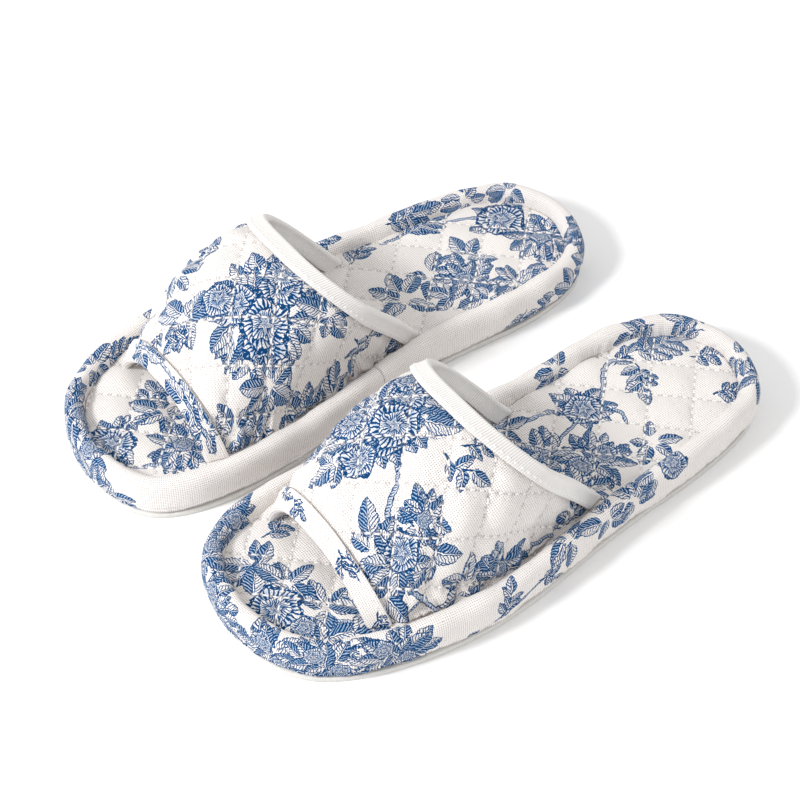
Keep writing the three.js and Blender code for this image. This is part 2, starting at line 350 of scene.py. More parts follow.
def insole_sheet(slipper, inset, rows=290, columns=104):
    """A grid over the sole inside its edge, squeezed from a square to the outline."""
    ring = slipper.ring(inset)
    half = np.abs(ring).max(axis=0)
    unit = ring / half
    angles = np.arctan2(unit[:, 1], unit[:, 0])
    order = np.argsort(angles)
    reach = np.linalg.norm(unit, axis=1)[order]
    v, u = np.meshgrid(np.linspace(-1, 1, rows), np.linspace(-1, 1, columns), indexing="ij")
    disc = np.stack([u * np.sqrt(1 - v * v / 2), v * np.sqrt(1 - u * u / 2)], axis=-1)
    heading = np.arctan2(disc[..., 1], disc[..., 0])
    scale = np.interp(heading, angles[order], reach, period=2 * math.pi)
    plan = disc * half * scale[..., None]
    level = np.full(plan.shape[:2] + (1,), slipper.insole_top)
    points = np.concatenate([plan, level], axis=-1)
    edge = 1 - np.linalg.norm(disc, axis=-1)
    return Sheet(points, plan / MM, np.array([0, 0, 1])), edge * half[0]


class Vamp:
    """The vamp's outer surface as even columns, with the distance along each from the toe opening."""

    def __init__(self, slipper, columns=196, rows=260, fine=1201):
        along = np.linspace(-0.08, 1.06, rows)[:, None]
        spread = np.linspace(-1, 1, fine)[None, :]
        limit = slipper.vamp_limit(along, slipper.insole_top + 0.2 * MM)
        angle = limit * signed_power(spread, 2.5)
        arches = slipper.vamp_point(angle, np.broadcast_to(along, angle.shape))
        self.points = np.empty((rows, columns, 3))
        self.across = np.empty((rows, columns))
        for row, arch in enumerate(arches):
            length = run_along(arch)
            even = np.linspace(0, length[-1], columns)
            for axis in range(3):
                self.points[row, :, axis] = np.interp(even, length, arch[:, axis])
            self.across[row] = even - length[-1] / 2
        steps = np.linalg.norm(np.diff(self.points, axis=0), axis=2)
        run = np.vstack([np.zeros(columns), np.cumsum(steps, axis=0)])
        self.start = np.array([np.interp(0, along[:, 0], run[:, k]) for k in range(columns)])
        self.run = run - self.start
        self.length = np.array([np.interp(1, along[:, 0], self.run[:, k]) for k in range(columns)])
        self.columns = columns
        self.normals = normals_of(self.points, np.array([0, 0, 1]))

    def at(self, distance, depth):
        """Points at distances from the toe opening, a row of them for each place in the
        first direction, and at depths under the outer surface. Also how far across they are."""
        values = np.concatenate([self.points, self.normals, self.across[..., None]], axis=-1)
        found = np.empty(distance.shape + (7,))
        for k in range(self.columns):
            for axis in range(7):
                found[:, k, axis] = np.interp(distance[:, k], self.run[:, k], values[:, k, axis])
        normal = unit(found[..., 3:6])
        return found[..., :3] - normal * depth, normal, found[..., 6]

    def sheet(self, distance):
        points, _, across = self.at(distance, 0.0)
        cloth = np.stack([across, distance], axis=-1) / MM
        return Sheet(points, cloth, np.array([0, 0, 1]))

    def rows(self, start, end, count):
        """Distances from start past the toe opening to end past the topline."""
        share = np.linspace(0, 1, count)[:, None]
        return start * (1 - share) + (self.length[None, :] + end) * share


# ---- The flower print ------------------------------------------------------

LEAF, FLOWER, STEM = 1, 2, 3
LAYERS = 4


def heading(turn):
    return np.array([math.cos(turn), math.sin(turn)])


class Print:
    """Motifs on a piece's cloth, in its cloth coordinates, the lowest first. Angles are in
    degrees."""

    def __init__(self, seed):
        self.stamps = []
        self.rng = np.random.default_rng(seed)

    def leaf(self, at, angle, length):
        self.stamps.append((LEAF, np.array(at, float), math.radians(angle), length))

    def flower(self, at, radius):
        self.stamps.append((FLOWER, np.array(at, float), self.rng.uniform(0, 2 * math.pi), radius))

    def stem(self, path, half_width):
        """A branch along a smooth curve through a few places."""
        path = np.array(path, float)
        ends = np.vstack([2 * path[0] - path[1], path, 2 * path[-1] - path[-2]])
        line = []
        for a, b, c, d in zip(ends, ends[1:], ends[2:], ends[3:]):
            for t in np.linspace(0, 1, 10, endpoint=False):
                square = (2 * a - 5 * b + 4 * c - d) * t ** 2
                cube = (3 * b - a - 3 * c + d) * t ** 3
                line.append(0.5 * (2 * b + (c - a) * t + square + cube))
        line.append(path[-1])
        self.stamps.append((STEM, np.array(line), 0, half_width))

    def sprig(self, at, angle, length, leaves=5):
        """A twig with leaves on both sides and one at its tip."""
        at = np.array(at, float)
        ahead = heading(math.radians(angle))
        aside = np.array([-ahead[1], ahead[0]])
        bend = self.rng.uniform(-0.12, 0.12) * length
        tip = at + ahead * length * 0.55
        self.stem([at, (at + tip) / 2 + aside * bend, tip], 0.42)
        size = length * 0.37
        for k in range(leaves - 1):
            share = (k + 1) / leaves
            side = 1 if k % 2 else -1
            base = at + ahead * length * 0.55 * share + aside * bend * math.sin(math.pi * share)
            turn = angle + side * self.rng.uniform(45, 65)
            self.leaf(base, turn, size * self.rng.uniform(0.8, 1.1))
        self.leaf(tip, angle + self.rng.uniform(-10, 10), size * 1.2)

    def cluster(self, at, size=6, leaf=12, angle=None, spread=360):
        """Leaves that fan out from one place, as many as size in a full turn."""
        count = max(3, round(size * spread / 360))
        first = self.rng.uniform(0, 360) if angle is None else angle - spread / 2
        for k in range(count):
            turn = math.radians(first + spread * (k + 0.5) / count + self.rng.uniform(-12, 12))
            base = np.array(at) + self.rng.uniform(0.5, 4.5) * heading(turn)
            lean = math.degrees(turn) + self.rng.uniform(-35, 35)
            self.leaf(base, lean, leaf * self.rng.uniform(0.7, 1.15))

    def bouquet(self, at, radii, angle=0, flowers=3, leaf=13):
        """A dense head of flowers over leaves, in an ellipse."""
        turn = math.radians(angle)
        axes = np.array([[math.cos(turn), math.sin(turn)], [-math.sin(turn), math.cos(turn)]])
        for ring in (0.78, 0.5, 0.2):
            around = 2 * math.pi * ring * math.sqrt((radii[0] ** 2 + radii[1] ** 2) / 2)
            count = max(3, round(around / (leaf * 0.42)))
            for k in range(count):
                way = 2 * math.pi * (k + self.rng.uniform(-0.25, 0.25)) / count
                out = (heading(way) * radii) @ axes
                size = leaf * self.rng.uniform(0.75, 1.1)
                base = at + out * ring - size * 0.35 * unit(out)
                lean = math.degrees(math.atan2(out[1], out[0])) + self.rng.uniform(-35, 35)
                self.leaf(base, lean, size)
        for k in range(flowers):
            way = 2 * math.pi * (k + 0.3) / flowers
            reach = 0 if flowers == 1 else 0.48
            off = (heading(way) * radii) @ axes * reach
            self.flower(at + off, min(radii) * self.rng.uniform(0.42, 0.5))

    def attributes(self, cloth, faces, printed):
        """The motifs' own coordinates on each corner of each face, in a few layers with the
        topmost first: two lengths in millimetres, the kind, and the motif's size."""
        at = cloth[faces]
        middle = at.mean(axis=1)
        layers = np.zeros((LAYERS, len(faces), faces.shape[1], 4), np.float32)
        for kind, place, turn, size in self.stamps:
            low, high = np.min(place, axis=0), np.max(place, axis=0)
            margin = size * 1.25 + 2 if kind != STEM else size + 2.5
            boxed = (middle > low - margin) & (middle < high + margin)
            near = np.flatnonzero(printed & boxed.all(axis=1))
            if not len(near):
                continue
            corner = at[near]
            if kind == STEM:
                local = along_line(place, corner.reshape(-1, 2)).reshape(corner.shape)
                hit = np.abs(local[..., 1]).min(axis=1) < size + 0.4
            else:
                off = corner - place
                local = np.stack([off[..., 0] * math.cos(turn) + off[..., 1] * math.sin(turn),
                                  off[..., 1] * math.cos(turn) - off[..., 0] * math.sin(turn)], axis=-1)
                x, y = local[..., 0].mean(axis=1), local[..., 1].mean(axis=1)
                if kind == LEAF:
                    hit = (x > -1) & (x < size + 1) & (np.abs(y) < size * 0.34 + 0.9)
                else:
                    hit = np.hypot(x, y) < size * 1.12 + 0.9
            near, local = near[hit], local[hit]
            layers[1:, near] = layers[:-1, near]
            layers[0, near, :, :2] = local
            layers[0, near, :, 2] = kind
            layers[0, near, :, 3] = size
        return [(f"motif_{k}", "FLOAT_COLOR", "CORNER", layers[k]) for k in range(LAYERS)]


def along_line(line, points):
    """Each point's distance along a line of short steps, and off to its left."""
    start, step = line[:-1], np.diff(line, axis=0)
    length = np.linalg.norm(step, axis=1)
    run = run_along(line)
    ahead = unit(step)
    off = points[:, None, :] - start[None]
    along = np.einsum("pkj,kj->pk", off, ahead)
    clipped = np.clip(along, 0, length)
    gap = np.linalg.norm(off - clipped[..., None] * ahead[None], axis=2)
    k = gap.argmin(axis=1)
    every = np.arange(len(points))
    aside = off[every, k, 1] * ahead[k, 0] - off[every, k, 0] * ahead[k, 1]
    left = np.where(aside < 0, -1, 1) * gap[every, k]
    return np.stack([run[k] + clipped[every, k], left], axis=1)


# ---- Materials -------------------------------------------------------------

class Formula:
    """Arithmetic on shader values: each operator adds a node."""

    def __init__(self, tree, socket):
        self.tree, self.socket = tree, socket

    def apply(self, operation, *others):
        node = self.tree.nodes.new("ShaderNodeMath")
        node.operation = operation
        for slot, value in zip(node.inputs, (self, *others)):
            connect(self.tree, value, slot)
        return Formula(self.tree, node.outputs[0])

    __add__ = __radd__ = partialmethod(apply, "ADD")
    __sub__ = partialmethod(apply, "SUBTRACT")
    __mul__ = __rmul__ = partialmethod(apply, "MULTIPLY")
    __truediv__ = partialmethod(apply, "DIVIDE")
    __pow__ = partialmethod(apply, "POWER")
    __abs__ = partialmethod(apply, "ABSOLUTE")
    sin = partialmethod(apply, "SINE")
    fract = partialmethod(apply, "FRACT")
    least = partialmethod(apply, "MINIMUM")
    most = partialmethod(apply, "MAXIMUM")
    above = partialmethod(apply, "GREATER_THAN")

    def __rsub__(self, other):
        return self.apply("MULTIPLY_ADD", -1.0, other)

    def clamped(self):
        return self.least(1.0).most(0.0)

    def rise(self, low, high):
        """0 below low, 1 above high, and smooth between."""
        inputs = {"Value": self, "From Min": low, "From Max": high}
        node = add_node(self.tree, "MapRange", inputs, interpolation_type="SMOOTHSTEP")
        return Formula(self.tree, node.outputs["Result"])

    def fall(self, low, high):
        return 1.0 - self.rise(low, high)


def connect(tree, value, slot):
    """Links a value to a node's input, or sets the input to it."""
    value = getattr(value, "socket", value)
    if isinstance(value, bpy.types.NodeSocket):
        tree.links.new(value, slot)
    else:
        slot.default_value = value


def add_node(tree, kind, inputs, **settings):
    node = tree.nodes.new("ShaderNode" + kind)
    for name, value in settings.items():
        setattr(node, name, value)
    for name, value in inputs.items():
        connect(tree, value, node.inputs[name])
    return node


def over(below, above, share):
    return below + (above - below) * share


def attribute_of(tree, name):
    return add_node(tree, "Attribute", {}, attribute_name=name)


def parts_of(tree, socket):
    return [Formula(tree, out) for out in add_node(tree, "SeparateXYZ", {"Vector": socket}).outputs]


def noise_of(tree, vector, scale, detail=2.0, roughness=0.5):
    inputs = {"Vector": vector, "Scale": scale, "Detail": detail, "Roughness": roughness}
    return add_node(tree, "TexNoise", inputs)


def tone_of(tree, *noise_sizes):
    return Formula(tree, noise_of(tree, *noise_sizes).outputs["Fac"])


def mixed(tree, share, low, high):
    """Between two colours, each a tuple or a socket."""
    node = add_node(tree, "Mix", {"Factor": share}, data_type="RGBA")
    slots = {slot.name: slot for slot in node.inputs if slot.type == "RGBA"}
    for name, value in (("A", low), ("B", high)):
        connect(tree, (*value, 1) if isinstance(value, tuple) else value, slots[name])
    return next(out for out in node.outputs if out.type == "RGBA")


def leaf_pattern(x, y, size, uneven):
    """Where a leaf covers the cloth, and its ink: outline, midrib, veins and a darker half."""
    share = (x / size).clamped()
    width = share ** 0.55 * (1.0 - share) ** 0.8 * size * 0.74
    tooth = (x * 0.55).fract()
    side = abs(y)
    inside = width * (tooth * 0.14 + 0.9) - side
    rib_width = (1.25 - share) * 0.22
    rib = (side - rib_width).rise(-0.05, 0.05)
    rib_line = rib * (side - rib_width).fall(0.3, 0.42)
    veins = ((x - side * 0.85) * 0.66).fract()
    vein_ink = (abs(veins - 0.5) - y.rise(-0.2, 0.2) * 0.16).fall(0.13, 0.19)
    wash = (y.rise(-0.3, 0.5) * 0.26 + 0.04 + uneven * 0.2).most(0.0) * rib
    ink = inside.fall(0.36, 0.5).most(rib_line).most(vein_ink * 0.9 * rib).most(wash)
    return inside.rise(-0.05, 0.06), ink


def flower_pattern(x, y, size, wave, uneven):
    """Where a flower covers the cloth, and its ink: rings of petals hatched at their roots."""
    turn = y.apply("ARCTAN2", x)
    ring = (x * x + y * y) ** 0.5 / (size * 0.3)
    petals = ring + abs((turn * 2.5 + ring * 1.1 + uneven).sin()) * 0.5 + wave * 0.3
    edge = petals.fract()
    petal_line = edge.fall(0.09, 0.14).most(edge.rise(0.94, 0.98))
    rim_line = (petals - 3.22).rise(-0.03, 0.03)
    hatch = ((turn * 4.6) + edge * 0.5).fract()
    hatch_ink = (abs(hatch - 0.5) - ((1.0 - edge) * 0.3 + 0.05)).fall(0.0, 0.1)
    wash = ((1.0 - edge) * 0.32 + uneven * 0.2).most(0.0)
    ink = petal_line.most(rim_line).most(hatch_ink * 0.85).most(wash)
    return (petals - 3.35).fall(-0.03, 0.03), ink


def stem_pattern(x, y, size):
    """Where a branch covers the cloth, and its ink: two edges and dashes along one of them."""
    reach = size - abs(y)
    dashes = abs((x * 0.85 + y * 0.5).fract() - 0.5).fall(0.14, 0.24) * (size * 0.35 - y).rise(-0.1, 0.1)
    return reach.rise(-0.08, 0.05), reach.fall(0.34, 0.46).most(dashes * 0.85).most(0.16)


def motif_group():
    """A node group that draws one motif: its own coordinates, kind and size give how much
    ink there is and where the motif covers what lies below it."""
    tree = bpy.data.node_groups.new("engraved_motif", "ShaderNodeTree")
    for name, kind in (("Motif", "Color"), ("Size", "Float"), ("Wobble", "Vector")):
        tree.interface.new_socket(name, in_out="INPUT", socket_type="NodeSocket" + kind)
    for name in ("Ink", "Cover"):
        tree.interface.new_socket(name, in_out="OUTPUT", socket_type="NodeSocketFloat")
    given = tree.nodes.new("NodeGroupInput")
    result = tree.nodes.new("NodeGroupOutput")
    x, y, kind = parts_of(tree, given.outputs["Motif"])
    size = Formula(tree, given.outputs["Size"])
    wave_x, wave_y, uneven = parts_of(tree, given.outputs["Wobble"])
    x, y = x + wave_x, y + wave_y
    drawn = {LEAF: leaf_pattern(x, y, size, uneven),
             FLOWER: flower_pattern(x, y, size, wave_x, uneven),
             STEM: stem_pattern(x, y, size)}
    cover = ink = 0.0
    for motif, (motif_cover, motif_ink) in drawn.items():
        chosen = 1.0 - abs(kind - motif).above(0.5)
        cover = chosen * motif_cover + cover
        ink = chosen * motif_ink + ink
    connect(tree, cover, result.inputs["Cover"])
    connect(tree, ink, result.inputs["Ink"])
    return tree


def new_material(name, roughness, sheen=0.0):
    material = bpy.data.materials.new(name)
    material.use_nodes = True
    tree = material.node_tree
    shader = tree.nodes["Principled BSDF"]
    shader.inputs["Roughness"].default_value = roughness
    shader.inputs["Specular IOR Level"].default_value = 0.1
    shader.inputs["Sheen Weight"].default_value = sheen
    shader.inputs["Sheen Roughness"].default_value = 0.6
    return material, tree, shader


def finish_surface(tree, shader, colour, height, depth):
    """The surface's colour, and the relief that a height from 0 to 1 gives it."""
    connect(tree, colour, shader.inputs["Base Color"])
    relief = add_node(tree, "Bump", {"Strength": 1.0, "Distance": depth, "Height": height})
    connect(tree, relief.outputs["Normal"], shader.inputs["Normal"])


def weave(tree, cloth, pitch):
    """Plain weave: over and under threads, as a height from 0 to 1 with uneven yarns, and the
    small gaps between them."""
    u, v, _ = parts_of(tree, cloth)
    yarn = tone_of(tree, cloth, 0.35, 3.0)
    a = (u / pitch + yarn * 0.5) * math.pi
    b = (v / pitch + yarn * 0.5) * math.pi
    warp = abs(a.sin())
    weft = abs(b.sin())
    checker = (a.sin() * b.sin()).rise(-0.3, 0.3)
    height = over(warp, weft, checker) * 0.8 + yarn * 0.2
    gaps = ((1.0 - warp) * (1.0 - weft)).rise(0.12, 0.6)
    return height, gaps


def canvas(tree, cloth, base, dark, pitch):
    """Undyed cotton canvas: woven threads, uneven tone, gaps and small dark slubs. Gives its
    colour and its height."""
    threads, gaps = weave(tree, cloth, pitch)
    tone = tone_of(tree, cloth, 0.04, 3.0)
    fleck = tone_of(tree, cloth, 0.85, 2.0, 0.7)
    light = (threads * 0.5 + tone * 0.4 + fleck * 0.25).rise(0.2, 0.8)
    ground = mixed(tree, light, dark, base)
    ground = mixed(tree, gaps * fleck.rise(0.25, 0.55), ground, (0.40, 0.315, 0.28))
    slubs = tone_of(tree, cloth, 0.9, 1.0).rise(0.71, 0.78)
    ground = mixed(tree, slubs * 0.6, ground, (0.30, 0.16, 0.09))
    return ground, threads - gaps * 0.5


def printed_canvas():
    material, tree, shader = new_material("printed_canvas", 0.95, 0.02)
    cloth = attribute_of(tree, "cloth").outputs["Vector"]
    ground, height = canvas(tree, cloth, (0.93, 0.895, 0.87), (0.75, 0.705, 0.675), 0.98)
    motif = motif_group()
    centred = add_node(tree, "VectorMath", {}, operation="SUBTRACT")
    connect(tree, noise_of(tree, cloth, 0.33, 2.0).outputs["Color"], centred.inputs[0])
    centred.inputs[1].default_value = (0.5, 0.5, 0.5)
    wobble = add_node(tree, "VectorMath", {"Vector": centred.outputs[0], "Scale": 2.2},
                      operation="SCALE")
    ink = None
    for k in reversed(range(LAYERS)):
        stored = attribute_of(tree, f"motif_{k}")
        drawn = tree.nodes.new("ShaderNodeGroup")
        drawn.node_tree = motif
        connect(tree, stored.outputs["Color"], drawn.inputs["Motif"])
        connect(tree, stored.outputs["Alpha"], drawn.inputs["Size"])
        connect(tree, wobble.outputs[0], drawn.inputs["Wobble"])
        layer, cover = (Formula(tree, drawn.outputs[name]) for name in ("Ink", "Cover"))
        ink = layer * cover if ink is None else over(ink, layer, cover)
    tone = tone_of(tree, cloth, 0.16, 3.0)
    depth = (ink - tone * 0.2).rise(0.25, 0.7)
    blue = mixed(tree, depth, (0.020, 0.245, 0.545), (0.002, 0.050, 0.160))
    colour = mixed(tree, (ink * (tone * 0.5 + 1.7)).clamped(), ground, blue)
    finish_surface(tree, shader, sewn_through(tree, cloth, colour), height, CANVAS_RELIEF)
    return material


def sewn_through(tree, cloth, colour):
    """The quilting's thread and needle holes, and painted shade along its grooves, where the cloth is
    quilted.
    """
    u, v, quilted = parts_of(tree, cloth)
    quilted = quilted.above(0.5)
    pitch, stitch = STITCH_PITCH / MM, STITCH_LENGTH / MM
    for across in (1, -1):
        lines = (u + v * across) / (math.sqrt(2) * QUILT_PITCH / MM)
        aside = abs((lines + 0.5).fract() - 0.5) * (QUILT_PITCH / MM)
        along = ((u - v * across) / (math.sqrt(2) * pitch)).fract() * pitch
        # painted shade: how close each place is to a quilting line, where the groove's shade falls
        groove_shade = aside.fall(0.0, 1.6) * quilted
        thread = aside.fall(0.3, 0.5) * (along - stitch).fall(-0.1, 0.1) * quilted
        gap = along.least(pitch - along).least(abs(along - stitch))
        hole = ((aside * aside + gap * gap) ** 0.5).fall(0.25, 0.55) * quilted
        # painted shade: the cloth is darkened towards each quilting line, as the shade in its groove
        colour = mixed(tree, groove_shade * 0.16, colour, (0.42, 0.36, 0.33))
        colour = mixed(tree, thread * 0.9, colour, (0.93, 0.915, 0.90))
        colour = mixed(tree, hole * 0.5, colour, (0.20, 0.15, 0.13))
    return colour


def plain_lining():
    material, tree, shader = new_material("plain_lining", 0.93, 0.2)
    cloth = attribute_of(tree, "cloth").outputs["Vector"]
    colour, height = canvas(tree, cloth, (0.88, 0.86, 0.84), (0.70, 0.675, 0.65), 0.85)
    finish_surface(tree, shader, colour, height, CANVAS_RELIEF)
    return material


def ribbed_tape():
    """A cream tape with fine ribs across it."""
    material, tree, shader = new_material("ribbed_tape", 0.88, 0.3)
    cloth = attribute_of(tree, "cloth").outputs["Vector"]
    u, v, _ = parts_of(tree, cloth)
    ribs = abs((u * (math.pi / 1.15)).sin())
    threads = abs((v * (math.pi / 0.6)).sin())
    height = ribs * 0.6 + threads * 0.2 + tone_of(tree, cloth, 0.3, 3.0) * 0.25
    colour = mixed(tree, height.rise(0.1, 0.85), (0.62, 0.585, 0.55), (0.90, 0.875, 0.855))
    finish_surface(tree, shader, colour, height, 0.25 * MM)
    return material


def sewing_thread():
    """White cotton thread, twisted."""
    material, tree, shader = new_material("sewing_thread", 0.7, 0.3)
    x, y, z = parts_of(tree, tree.nodes.new("ShaderNodeTexCoord").outputs["Object"])
    twist = abs(((x + y + z) * (math.pi / (0.42 * MM))).sin())
    colour = mixed(tree, twist, (0.84, 0.825, 0.81), (0.97, 0.96, 0.95))
    finish_surface(tree, shader, colour, twist, 0.08 * MM)
    return material


def moulded(name, low, high, grain, roughness):
    """Foam or rubber with a fine cell grain."""
    material, tree, shader = new_material(name, roughness)
    place = tree.nodes.new("ShaderNodeTexCoord").outputs["Object"]
    cells = add_node(tree, "TexVoronoi", {"Vector": place, "Scale": 1 / grain})
    height = Formula(tree, cells.outputs["Distance"])
    share = (height * 0.5 + tone_of(tree, place, 60, 4.0) * 0.6).clamped()
    finish_surface(tree, shader, mixed(tree, share, low, high), height, 0.2 * MM)
    return material


CANVAS = printed_canvas()
LINING = plain_lining()
TAPE = ribbed_tape()
THREAD = sewing_thread()
SOLE = moulded("sole_rubber", (0.60, 0.585, 0.56), (0.74, 0.725, 0.70), 1.2 * MM, 0.75)
FOAM = moulded("midsole_foam", (0.62, 0.62, 0.61), (0.80, 0.80, 0.79), 0.8 * MM, 0.9)


# ---- Pieces ----------------------------------------------------------------

def cloth_attribute(cloth, quilted=False):
    """Cloth coordinates, and 1 as the third one where the cloth is quilted."""
    flat = cloth.reshape(-1, cloth.shape[-1])
    mark = np.full((len(flat), 1), float(quilted))
    return "cloth", "FLOAT_VECTOR", "POINT", np.hstack([flat, mark])


def bend_with_sole(piece, slipper):
    """A piece of the whole sole bends round the flex joint."""
    middle = slipper.place(np.array([0, FLEX_PLACE, slipper.insole_top]))
    reach = np.array([0, FLEX_REACH, 0])
    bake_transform(piece, f"{slipper.side}_front", f"{slipper.side}_heel", start=middle - reach,
             end=middle + reach)


def halves(slipper, *names):
    return [f"{slipper.side}_{name}_{half}" for name in names for half in ("front", "heel")]


def add_turned(slipper, name, points, faces, material, attributes=()):
    """Adds an object in the slipper's frame. The mirrored side's faces are turned round, and
    with them the values on their corners."""
    if slipper.sign < 0:
        faces = faces[:, ::-1]
        attributes = [(label, kind, domain, values[:, ::-1] if domain == "CORNER" else values)
                      for label, kind, domain, values in attributes]
    return add_object(f"{slipper.side}_{name}", slipper.place(points), faces, material, attributes)


def sheet_piece(slipper, name, top, bottom, cloth, material, motifs=None, quilted=False, **wall):
    points, faces = thick_sheet(top, bottom, **wall)
    extra = len(points) - 2 * cloth.shape[0] * cloth.shape[1]
    flat = cloth.reshape(-1, 2)
    rim = flat[rim_of(*cloth.shape[:2])]
    everywhere = np.vstack([flat, flat, *([rim] * (extra // len(rim)))])
    attributes = [cloth_attribute(everywhere, quilted)]
    if motifs:
        printed = np.arange(len(faces)) < (cloth.shape[0] - 1) * (cloth.shape[1] - 1)
        attributes += motifs.attributes(everywhere, faces, printed)
    return add_turned(slipper, name, points, faces, material, attributes)


def stitches(slipper, name, sheet, starts, ends, sink=0.05 * MM, keep=1.6):
    """Short rounded stitches lying on a sheet, each from one cloth place to another."""
    middle = (starts + ends) / 2
    points, normals, tangents, off = sheet.find(middle)
    ahead = np.einsum("nij,nj->ni", tangents, ends - starts)
    good = off < keep
    points, normals, ahead = points[good], normals[good], ahead[good]
    length = np.linalg.norm(ahead, axis=1)
    ahead /= length[:, None]
    aside = np.cross(normals, ahead)
    rings, sides = 7, 8
    share = np.linspace(-1, 1, rings)
    radius = STITCH_RADIUS * np.sqrt(np.maximum(1 - np.abs(share) ** 4, 0.02))
    turn = np.arange(sides) * 2 * math.pi / sides
    dip = -np.abs(share) ** 3 * STITCH_RADIUS * 1.3
    out = radius[:, None] * np.cos(turn)
    up = radius[:, None] * np.sin(turn) * 0.8 + dip[:, None] - sink
    shape = (ahead[:, None, None] * share[:, None, None] * (length / 2)[:, None, None, None]
             + aside[:, None, None] * out[..., None] + normals[:, None, None] * up[..., None])
    shape = shape + points[:, None, None]
    count = rings * sides
    faces = grid_faces(rings, sides, close_columns=True)
    cap = np.array([[0, 1, 2, 3], [0, 3, 4, 7], [4, 5, 6, 7]])
    faces = np.vstack([faces, cap, cap[:, ::-1] + count - sides])
    whole = (faces[None] + (np.arange(len(points)) * count)[:, None, None]).reshape(-1, 4)
    return add_turned(slipper, name, shape.reshape(-1, 3), whole, THREAD)


def quilting_stitches(low, high):
    """The starts and ends of the running stitches along both families of quilting lines."""
    starts, ends = [], []
    reach = np.abs(np.concatenate([low, high])).sum()
    pitch = math.sqrt(2) * QUILT_PITCH / MM
    for across in (1, -1):
        for k in range(-math.ceil(reach / pitch), math.ceil(reach / pitch) + 1):
            along = np.arange(-math.ceil(reach), math.ceil(reach)) * STITCH_PITCH / MM
            foot = np.array([k * pitch / 2, across * k * pitch / 2])
            way = np.array([1, -across]) / math.sqrt(2)
            line = foot + along[:, None] * way
            inside = ((line > low) & (line < high)).all(axis=1)
            starts.append(line[inside])
            ends.append(line[inside] + way * STITCH_LENGTH / MM)
    return np.vstack(starts), np.vstack(ends)


def row_stitches(sheet, distance):
    """Stitches along a sheet's second direction, at a distance along its first."""
    at = sheet.cloth
    row = np.array([np.interp(distance, at[:, k, 1], at[:, k, 0]) for k in range(at.shape[1])])
    even = np.arange(row[0] + 1, row[-1] - 1, STITCH_PITCH / MM * 0.8)
    starts = np.stack([even, np.full(len(even), distance)], axis=1)
    return starts, starts + np.array([STITCH_LENGTH / MM * 0.8, 0])


def build_insole(slipper, motifs):
    sheet, edge = insole_sheet(slipper, BORDER_WIDTH - 0.1 * MM)
    pillow = quilting(sheet.cloth)
    pucker = noise(sheet.cloth, 5.0, 11) * (1 - pillow) * 0.24 + noise(sheet.cloth, 26.0, 12) * 0.22
    height = (pillow * 1.9 - 1.3 + pucker) * MM - (1 - smoothstep(0, 7 * MM, edge)) * 0.6 * MM
    top = sheet.raised(height)
    bottom = sheet.points.copy()
    bottom[..., 2] = slipper.insole_bottom
    piece = sheet_piece(slipper, "insole_quilt", top, bottom, sheet.cloth, CANVAS, motifs, quilted=True)
    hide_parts(*halves(slipper, "insole_cover", "insole_wadding"))
    bend_with_sole(piece, slipper)
    sewn = sheet.rebuilt(height)
    starts, ends = quilting_stitches(sheet.cloth.min(axis=(0, 1)), sheet.cloth.max(axis=(0, 1)))
    thread = stitches(slipper, "insole_stitches", sewn, starts, ends, sink=-0.15 * MM, keep=0.9)
    bend_with_sole(thread, slipper)


def build_slabs(slipper):
    """The foam midsole inside the border, and the outsole under it."""
    sheet, _ = insole_sheet(slipper, BORDER_WIDTH + GAP, rows=90, columns=34)
    top, bottom = sheet.points.copy(), sheet.points.copy()
    top[..., 2], bottom[..., 2] = slipper.midsole_top, slipper.midsole_bottom
    foam = sheet_piece(slipper, "midsole_foam", top, bottom, sheet.cloth, FOAM)
    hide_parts(*halves(slipper, "midsole"))
    bend_with_sole(foam, slipper)
    sheet, _ = insole_sheet(slipper, OUTSOLE_INSET + 0.5 * MM, rows=170, columns=60)
    top, bottom = sheet.points.copy(), sheet.points.copy()
    top[..., 2], bottom[..., 2] = slipper.outsole_top, 0.0
    sole = sheet_piece(slipper, "outsole", top, bottom, sheet.cloth, SOLE, wall_rows=5, swell=0.6 * MM)
    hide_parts(*halves(slipper, "outsole"))
    bend_with_sole(sole, slipper)


